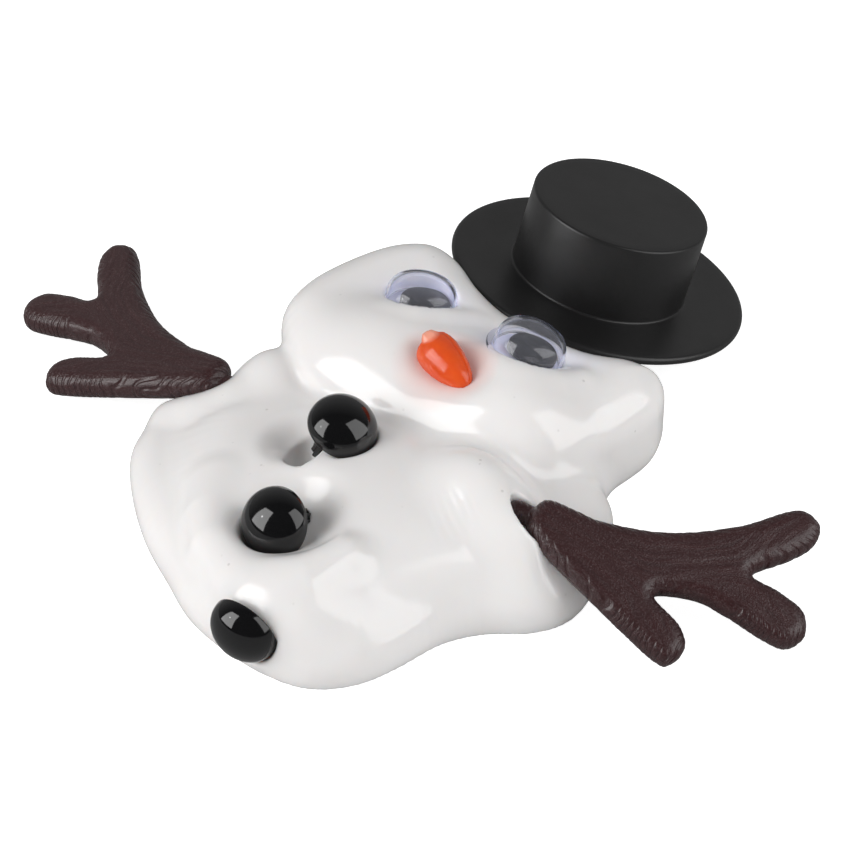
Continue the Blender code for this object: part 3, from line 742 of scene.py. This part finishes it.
# ---------------------------------------------------------------- the pieces


def dome_field(grid, spec, spare):
    """The clear dome with all that is under it, as a solid larger by spare."""
    height, away = local_to(grid, spec["place"], spec["axis"])
    power = 2.0 / EYE_DOME_SQUARENESS
    radius, tall = EYE_DOME_RADIUS + spare, EYE_DOME_HEIGHT + EYE_GAP + EYE_FLANGE_THICK
    size = ((away / radius) ** power + np.maximum(height / tall, 0.0) ** power) ** (1.0 / power)
    return np.maximum((size - 1.0) * tall, -EYE_BACK_THICK / 2 - height)


def button_field(grid, spec):
    height, away = local_to(grid, spec["place"], spec["axis"])
    size = np.hypot(away / BUTTON_RADIUS, height / BUTTON_HEIGHT)
    dome = np.maximum((size - 1.0) * BUTTON_HEIGHT, -BUTTON_RIM - height)
    pin = np.maximum(away - BUTTON_PIN_RADIUS, np.abs(height + BUTTON_PIN_LENGTH / 2) - BUTTON_PIN_LENGTH / 2)
    return np.minimum(dome, pin)


def nose_field(grid):
    height, away = local_to(grid, NOSE_PLACE, NOSE_AXIS)
    share = np.clip(height / NOSE_LENGTH, 0.0, 1.0)
    radius = NOSE_RADIUS * np.sqrt(np.maximum(1.0 - share**NOSE_BLUNTNESS, 0.0))
    return np.maximum(away - radius, np.abs(height - NOSE_LENGTH / 2) - NOSE_LENGTH / 2)


def hat_room(grid):
    """The room that the putty leaves for the hat: all that lies over the underside of its brim."""
    height, away = local_to(grid, HAT_PLACE, HAT_AXIS)
    gap = HAT_ROOM_CLEARANCE
    return np.maximum(away - HAT_BRIM_RADIUS - gap, -HAT_BRIM_THICK - gap - height)


def arm_axes(side):
    """The twig's along, across and out directions."""
    spec = ARMS[side]
    along = Vector(spec["along"]).normalized()
    across = Vector(spec["face"]).cross(along).normalized()
    return along, across, along.cross(across)


def arm_coordinates(grid, side):
    """Each point along, across and out of the twig; the left twig is the right one mirrored."""
    offset = [grid[i] - ARMS[side]["place"][i] for i in range(3)]
    flip = -1.0 if side == "left" else 1.0
    along, across, out = (sum(offset[i] * axis[i] for i in range(3)) for axis in arm_axes(side))
    return [along, across * flip, out]


def arm_field(grid):
    slab = pancake(grid, ARM_OUTLINE, -ARM_THICK / 2, ARM_THICK / 2, ARM_EDGE_ROUND)
    height, away = local_to(grid, ARM_PEG_PLACE, ARM_PEG_AXIS)
    taper = np.clip((height - ARM_PEG_LENGTH + ARM_PEG_POINT) / ARM_PEG_POINT, 0.0, 1.0)
    radius = ARM_PEG_RADIUS * np.sqrt(1.0 - taper**2)
    peg = np.maximum(away - radius, np.abs(height - ARM_PEG_LENGTH / 2) - ARM_PEG_LENGTH / 2)
    return smooth_union(slab, peg, ARM_PEG_BLEND)


def body_field(grid):
    shape = pancake(grid, BODY_OUTLINE, *BODY_SLAB)
    shape = smooth_union(shape, pancake(grid, MOUND_OUTLINE, *MOUND_SLAB), MOUND_BLEND)
    shape = with_ellipsoids(grid, shape, LOBES, smooth_union)
    return with_ridges(grid, shape, RIDGES)


def head_field(grid):
    x = grid[0]
    top = HEAD_TOP - np.where(x < 0.0, HEAD_SLOPE_LEFT, HEAD_SLOPE_RIGHT) * x
    shape = pancake(grid, HEAD_OUTLINE, top - HEAD_DEPTH, top, HEAD_EDGE_ROUND)
    shape = with_ellipsoids(grid, shape, FACE_LOBES, smooth_union)
    return with_ridges(grid, shape, LID_RIDGES)


def without_pieces(grid, shape):
    """The shape with a socket for each plastic piece."""
    for spec in BUTTONS.values():
        socket = cap(grid, spec["place"], spec["axis"], BUTTON_RADIUS + BUTTON_SOCKET_GAP, BUTTON_RIM)
        shape = smooth_cut(shape, socket, BUTTON_SOCKET_BLEND)
        shape = np.maximum(shape, -button_field(grid, spec) - PUTTY_INTO_PIECE)
    for spec in EYES.values():
        shape = np.maximum(shape, -dome_field(grid, spec, EYE_CLEARANCE))
    shape = np.maximum(shape, -nose_field(grid) - PUTTY_INTO_PIECE)
    shape = np.maximum(shape, -hat_room(grid))
    for side in ARMS:
        shape = np.maximum(shape, -arm_field(arm_coordinates(grid, side)) - PUTTY_INTO_PIECE)
    return shape


def putty_field(grid):
    x, _, z = grid
    neck_blend = NECK_BLEND + NECK_BLEND_GROWTH * np.clip(x, 0.0, NECK_BLEND_END)
    shape = smooth_union(body_field(grid), head_field(grid), neck_blend)
    shape = with_ellipsoids(grid, shape, DENTS, smooth_cut)
    shape = without_pieces(grid, shape)
    return np.maximum(shape, -z)


def putty():
    points, quads = surface_mesh(putty_field, PUTTY_BOX, PUTTY_VOXEL)
    points[:, 2] = np.maximum(points[:, 2], 0.0)
    return mesh_object("putty_mass", points, quads, putty_finish())


def hat():
    top, brim = HAT_CROWN_HEIGHT, HAT_BRIM_THICK
    reach = HAT_BRIM_RADIUS - ROUND_TRIM
    outer, inner = HAT_CROWN_RADIUS, HAT_CROWN_RADIUS - HAT_WALL
    edge, foot, lip = HAT_TOP_EDGE, HAT_FOOT_FILLET, brim / 2
    profile = [(0.0, top)] + [(radius, top) for radius in HAT_TOP_RINGS]
    profile += arc((outer - edge, top - edge), edge, 90, 0, 5)
    profile += [(outer, height) for height in HAT_SIDE_RINGS]
    profile += [(outer, foot)] + arc((outer + foot, foot), foot, 180, 270, 4)
    profile += [(radius, 0.0) for radius in HAT_BRIM_RINGS]
    profile += arc((reach - lip, -lip), lip, 90, -90, 10)
    profile += [(HAT_BRIM_UNDER_RING, -brim), (inner + HAT_INNER_EDGE, -brim)]
    profile += [(inner, -brim + HAT_INNER_EDGE), (inner, top - HAT_WALL), (0.0, top - HAT_WALL)]
    obj = turned("top_hat", profile, sides=160, finish=hat_finish(), sharp=30.0)
    return stand(obj, frame_at(HAT_PLACE, HAT_AXIS))


def eye_backing_profile():
    edge = EYE_EDGE
    profile = [(0.0, 0.0)] + arc((EYE_BACK_RADIUS - edge, -edge), edge, 90, 0, 3)
    return profile + [(EYE_BACK_RADIUS, -EYE_BACK_THICK), (0.0, -EYE_BACK_THICK)]


def eye_dome_profile():
    """The outer side down to the flange, its edge, and the inner side back up."""
    edge, base = EYE_EDGE, EYE_GAP
    top = base + EYE_FLANGE_THICK
    inner_height = EYE_DOME_HEIGHT - EYE_WALL + EYE_FLANGE_THICK
    profile = squared_arc(EYE_DOME_RADIUS, EYE_DOME_HEIGHT - ROUND_TRIM, top, 24)
    profile += arc((EYE_RADIUS - edge, top - edge), edge, 90, 0, 3) + [(EYE_RADIUS, base)]
    return profile + squared_arc(EYE_DOME_RADIUS - EYE_WALL, inner_height, base, 24)[::-1]


def pupil_profile():
    edge = PUPIL_EDGE
    profile = [(0.0, PUPIL_THICK)] + arc((PUPIL_RADIUS - edge, PUPIL_THICK - edge), edge, 90, 0, 3)
    return profile + [(PUPIL_RADIUS, 0.0), (0.0, 0.0)]


def eye(side, backing_finish, dome_finish, disc_finish):
    """The eye's three pieces, each with its part's name in the CAD and its slot."""
    spec = EYES[side]
    seat = frame_at(spec["place"], spec["axis"])
    backing = turned(f"googly_backing_{side}", eye_backing_profile(), sides=72, finish=backing_finish)
    dome = turned(f"googly_dome_{side}", eye_dome_profile(), sides=96, finish=dome_finish, sharp=50.0)
    pupil = turned(f"googly_pupil_{side}", pupil_profile(), sides=72, finish=disc_finish)
    stand(pupil, Matrix.Translation(Vector((*spec["pupil"], EYE_GAP)) * MM))
    for piece in (backing, dome, pupil):
        stand(piece, seat)
    return (backing, "backing", "eye_backing"), (dome, "dome", "eye_dome"), (pupil, "pupil", "pupil")


def nose_profile():
    long = NOSE_LENGTH
    knots = np.array(NOSE_PROFILE) * (long, NOSE_RADIUS)
    blunt_end = knots[-1][0]
    heights = np.concatenate([np.linspace(blunt_end, 0.12 * long, 40), np.linspace(0.1 * long, 0.0, 8)])
    rings = [(float(np.interp(h, knots[:, 0], knots[:, 1])), float(h)) for h in heights]
    return [(0.0, long)] + rings + [(0.0, 0.0)]


def carrot_relief(rings):
    """Raises the parting line with its groove and the broken gate, and makes the surface uneven."""
    angle = np.degrees(np.arctan2(rings[..., 1], rings[..., 0]))
    off = (angle - SEAM_ANGLE + 180.0) % 360.0 - 180.0
    line = np.exp(-(off / SEAM_WIDTH) ** 2) * SEAM_HEIGHT
    groove = np.exp(-((off - SEAM_GROOVE_ANGLE) / SEAM_GROOVE_WIDTH) ** 2) * SEAM_GROOVE_DEPTH
    points = rings.reshape(-1, 3)
    flats = lattice_noise(points, CARROT_FLATS_CELL, 3).reshape(angle.shape) * CARROT_FLATS
    radius = np.hypot(rings[..., 0], rings[..., 1])
    scale = (radius - (line - groove + flats) * np.minimum(radius, 1.0)) / radius
    moved = rings * np.stack([scale, scale, np.ones_like(scale)], axis=-1)
    ragged = GATE_RAGGED * lattice_noise(points, GATE_RAGGED_CELL, 5).reshape(angle.shape)
    stub = np.clip(1.5 - np.linalg.norm(rings - GATE, axis=-1) / GATE_SIZE + ragged, 0.0, 1.0)
    return moved + stub[..., None] * GATE_TALL * np.array(GATE_LEAN)


def nose():
    seat = frame_at(NOSE_PLACE, NOSE_AXIS, NOSE_UP)
    finish = carrot_finish(seat @ (Vector(GATE) * MM) / MM)
    obj = turned("carrot", nose_profile(), sides=160, finish=finish, sharp=60.0, shape=carrot_relief)
    return stand(obj, seat)


def fluted(rings):
    """Grooves along the pin, which is all that lies under the dome's rim."""
    angle = np.arctan2(rings[..., 1], rings[..., 0])
    flutes = PIN_FLUTE_DEPTH * (0.5 - 0.5 * np.cos(PIN_FLUTES * angle))
    depth = np.where(rings[..., 2] < -BUTTON_RIM - PIN_NECK / 2, flutes, 0.0)
    scale = 1.0 - depth / BUTTON_PIN_RADIUS
    return rings * np.stack([scale, scale, np.ones_like(scale)], axis=-1)


def button(name, finish):
    spec = BUTTONS[name]
    edge, rim, neck, bevel = BUTTON_EDGE, -BUTTON_RIM, PIN_NECK, PIN_BEVEL
    pin, end = BUTTON_PIN_RADIUS, -BUTTON_PIN_LENGTH
    profile = arc((0.0, 0.0), (BUTTON_RADIUS, BUTTON_HEIGHT), 90, 0, 28)
    profile[0] = (0.0, BUTTON_HEIGHT)
    profile += arc((BUTTON_RADIUS - edge, rim + edge), edge, 0, -90, 4)
    profile += [(pin + neck, rim), (pin, rim - neck), (pin, end + bevel), (pin - bevel, end), (0.0, end)]
    obj = turned(f"dome_button_{name}", profile, sides=120, finish=finish, sharp=40.0, shape=fluted)
    return stand(obj, frame_at(spec["place"], spec["axis"]))


def grain_of(points):
    """How far each point lies along and across the grain, which turns into each prong."""
    weights, along, across = [], [], []
    travelled = 0.0
    for start, end in ARM_GRAIN:
        run = np.subtract(end, start)
        length = np.linalg.norm(run)
        run = run / length
        dx, dy = points[:, 0] - start[0], points[:, 1] - start[1]
        s = dx * run[0] + dy * run[1]
        t = -dx * run[1] + dy * run[0]
        beyond = np.maximum(np.maximum(-s, s - length), 0.0)
        weights.append(np.exp(-(beyond**2 + 0.25 * t**2) / GRAIN_REACH) + 1e-9)
        along.append(s + travelled)
        across.append(t)
        travelled += GRAIN_SHIFT
    weights, along, across = np.array(weights), np.array(along), np.array(across)
    weights /= weights.sum(axis=0)
    return (weights * along).sum(axis=0), (weights * across).sum(axis=0)


def point_attribute(obj, name, columns):
    vectors = np.stack(columns, axis=1).astype(np.float32)
    obj.data.attributes.new(name, "FLOAT_VECTOR", "POINT").data.foreach_set("vector", vectors.ravel())


def arm(side, finish):
    points, quads = surface_mesh(arm_field, ARM_BOX, ARM_VOXEL)
    along, across = grain_of(points)
    if side == "left":
        points[:, 1] *= -1.0
        quads = quads[:, ::-1]
    obj = mesh_object(f"twig_{side}", points, quads, finish)
    normals = np.empty(len(points) * 3, np.float32)
    obj.data.vertices.foreach_get("normal", normals)
    normals = normals.reshape(-1, 3)
    stretched = np.stack([along * BARK_STRETCH, across, points[:, 2]], axis=1)
    coarse, small = BARK_CELLS
    relief = BARK_HEIGHT * lattice_noise(stretched, coarse, 11)
    relief += BARK_HEIGHT * lattice_noise(stretched, small, 12)
    slant = (along * STROKE_DIRECTION[0] + across * STROKE_DIRECTION[1]) / STROKE_SPACING
    slant = slant + STROKE_WANDER * lattice_noise(points, STROKE_WANDER_CELL, 13)
    edge = np.clip(np.abs(normals[:, 2]) * STROKE_EDGE[0] + STROKE_EDGE[1], 0.0, 1.0)
    relief -= STROKE_DEPTH * edge * np.maximum(np.sin(2 * np.pi * slant), 0.0) + ARM_TRIM
    moved = points + normals * relief[:, None]
    obj.data.vertices.foreach_set("co", (moved * MM).astype(np.float32).ravel())
    lengthways, sideways = GRAIN_SCALE
    point_attribute(obj, "grain", [along * lengthways, across * sideways, points[:, 2] * sideways])
    point_attribute(obj, "strokes", [slant, edge, edge])
    obj.data.update()
    turn = Matrix(arm_axes(side)).transposed().to_4x4()
    return stand(obj, Matrix.Translation(Vector(ARMS[side]["place"]) * MM) @ turn)


# ---------------------------------------------------------------- floor, light and camera


def camera():
    azimuth, height = math.radians(CAMERA_AZIMUTH), math.radians(CAMERA_HEIGHT_ANGLE)
    flat = math.cos(height)
    back = Vector((math.sin(azimuth) * flat, -math.cos(azimuth) * flat, math.sin(height)))
    data = bpy.data.cameras.new("Camera")
    data.lens = CAMERA_LENS
    data.sensor_width = CAMERA_SENSOR
    data.clip_start = CAMERA_CLIP_START
    obj = bpy.data.objects.new("Camera", data)
    bpy.context.scene.collection.objects.link(obj)
    obj.location = (Vector(CAMERA_TARGET) + back * CAMERA_DISTANCE) * MM
    obj.rotation_euler = (math.pi / 2 - height, 0.0, azimuth)
    bpy.context.scene.camera = obj


def around(angle, distance, height):
    """A place about the camera's target, by its plan angle off the camera, distance and height."""
    turn = math.radians(CAMERA_AZIMUTH + angle)
    offset = Vector((math.sin(turn) * distance, -math.cos(turn) * distance, height))
    return offset + Vector(CAMERA_TARGET) * MM


def panel(name, centre, inward, size, glow):
    """A rectangular lamp whose glow doesn't depend on its size."""
    data = bpy.data.lights.new(name, "AREA")
    data.shape = "RECTANGLE"
    data.size, data.size_y = size
    data.energy = glow * size[0] * size[1] * math.pi
    obj = bpy.data.objects.new(name, data)
    bpy.context.scene.collection.objects.link(obj)
    obj.matrix_world = Matrix.Translation(centre) @ inward.to_track_quat("-Z", "Y").to_matrix().to_4x4()
    return obj


def softboxes():
    low, high = SOFTBOX_HEIGHTS
    for name, (outer, inner) in SOFTBOXES.items():
        a, b = around(*outer, (low + high) / 2), around(*inner, (low + high) / 2)
        inward = (b - a).cross(Vector((0.0, 0.0, 1.0))).normalized()
        centre = (a + b) / 2
        if inward.dot(centre) > 0:
            inward.negate()
        panel(name, centre, inward, ((b - a).length, high - low), SOFTBOX_GLOW[name])
    bulb = around(*BULB_AT)
    panel("Bulb", bulb, -bulb.normalized(), BULB_SIZE, BULB_GLOW)
    fill = around(*FILL_AT)
    panel("Fill", fill, -fill.normalized(), FILL_SIZE, FILL_GLOW).visible_glossy = False


def sky():
    """White to the camera; in the gloss dark by the camera and pale behind the snowman."""
    world = bpy.data.worlds.new("Studio")
    bpy.context.scene.world = world
    world.use_nodes = True
    tree = world.node_tree
    background = tree.nodes["Background"]
    background.inputs["Color"].default_value = WHITE
    path = tree.nodes.new("ShaderNodeLightPath")
    behind = node(tree, "ShaderNodeVectorMath", operation="DOT_PRODUCT")
    turn = math.radians(CAMERA_AZIMUTH)
    behind.inputs[1].default_value = (-math.sin(turn), math.cos(turn), 0.0)
    tree.links.new(tree.nodes.new("ShaderNodeTexCoord").outputs["Generated"], behind.inputs[0])
    horizon = ramp(tree, behind.outputs["Value"], *SKY_HORIZON, SKY_BY_CAMERA, SKY_BEHIND)
    seen = node(tree, "ShaderNodeMix", {"A": SKY_FOR_DIFFUSE}, data_type="FLOAT")
    tree.links.new(path.outputs["Is Glossy Ray"], seen.inputs["Factor"])
    tree.links.new(horizon, seen.inputs["B"])
    straight = node(tree, "ShaderNodeMix", {"B": SKY_FOR_CAMERA}, data_type="FLOAT")
    tree.links.new(path.outputs["Is Camera Ray"], straight.inputs["Factor"])
    tree.links.new(seen.outputs["Result"], straight.inputs["A"])
    tree.links.new(straight.outputs["Result"], background.inputs["Strength"])


def floor():
    """White in the picture; as a source of light it is only what the lamps make of it."""
    made, tree, shader = material("studio_floor", (FLOOR_SHADE,) * 3, 0.9)
    shader.inputs["Specular IOR Level"].default_value = 0.0
    shader.inputs["Emission Color"].default_value = WHITE
    path = tree.nodes.new("ShaderNodeLightPath")
    straight = path.outputs["Is Camera Ray"]
    tree.links.new(math_node(tree, "MULTIPLY", straight, FLOOR_GLOW), shader.inputs["Emission Strength"])
    shades = (FLOOR_SHADE,) * 3, (FLOOR_SHADE_IN_GLOSS,) * 3
    tree.links.new(mixed_colour(tree, path.outputs["Is Glossy Ray"], *shades), shader.inputs["Base Color"])
    signs = ((-1, -1), (1, -1), (1, 1), (-1, 1))
    corners = [(x * FLOOR_REACH, y * FLOOR_REACH, FLOOR_HEIGHT) for x, y in signs]
    mesh_object("Floor", corners, [(0, 1, 2, 3)], made)


def add(piece, cad_node):
    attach(piece, "root")
    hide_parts(cad_node)


def main():
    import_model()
    bpy.context.scene.view_settings.view_transform = "Standard"
    camera()
    softboxes()
    sky()
    floor()
    add(putty(), "putty")
    add(hat(), "hat")
    finishes = eye_backing_finish(), eye_dome_finish(), pupil_finish()
    for side in EYES:
        for piece, part, slot in eye(side, *finishes):
            add(piece, f"eye_{side}_{part}")
    add(nose(), "carrot_nose")
    black = button_finish()
    for name in BUTTONS:
        add(button(name, black), f"button_{name}")
    brown = twig_finish()
    for side in ARMS:
        add(arm(side, brown), f"twig_arm_{side}")
    bpy.context.view_layer.update()


main()
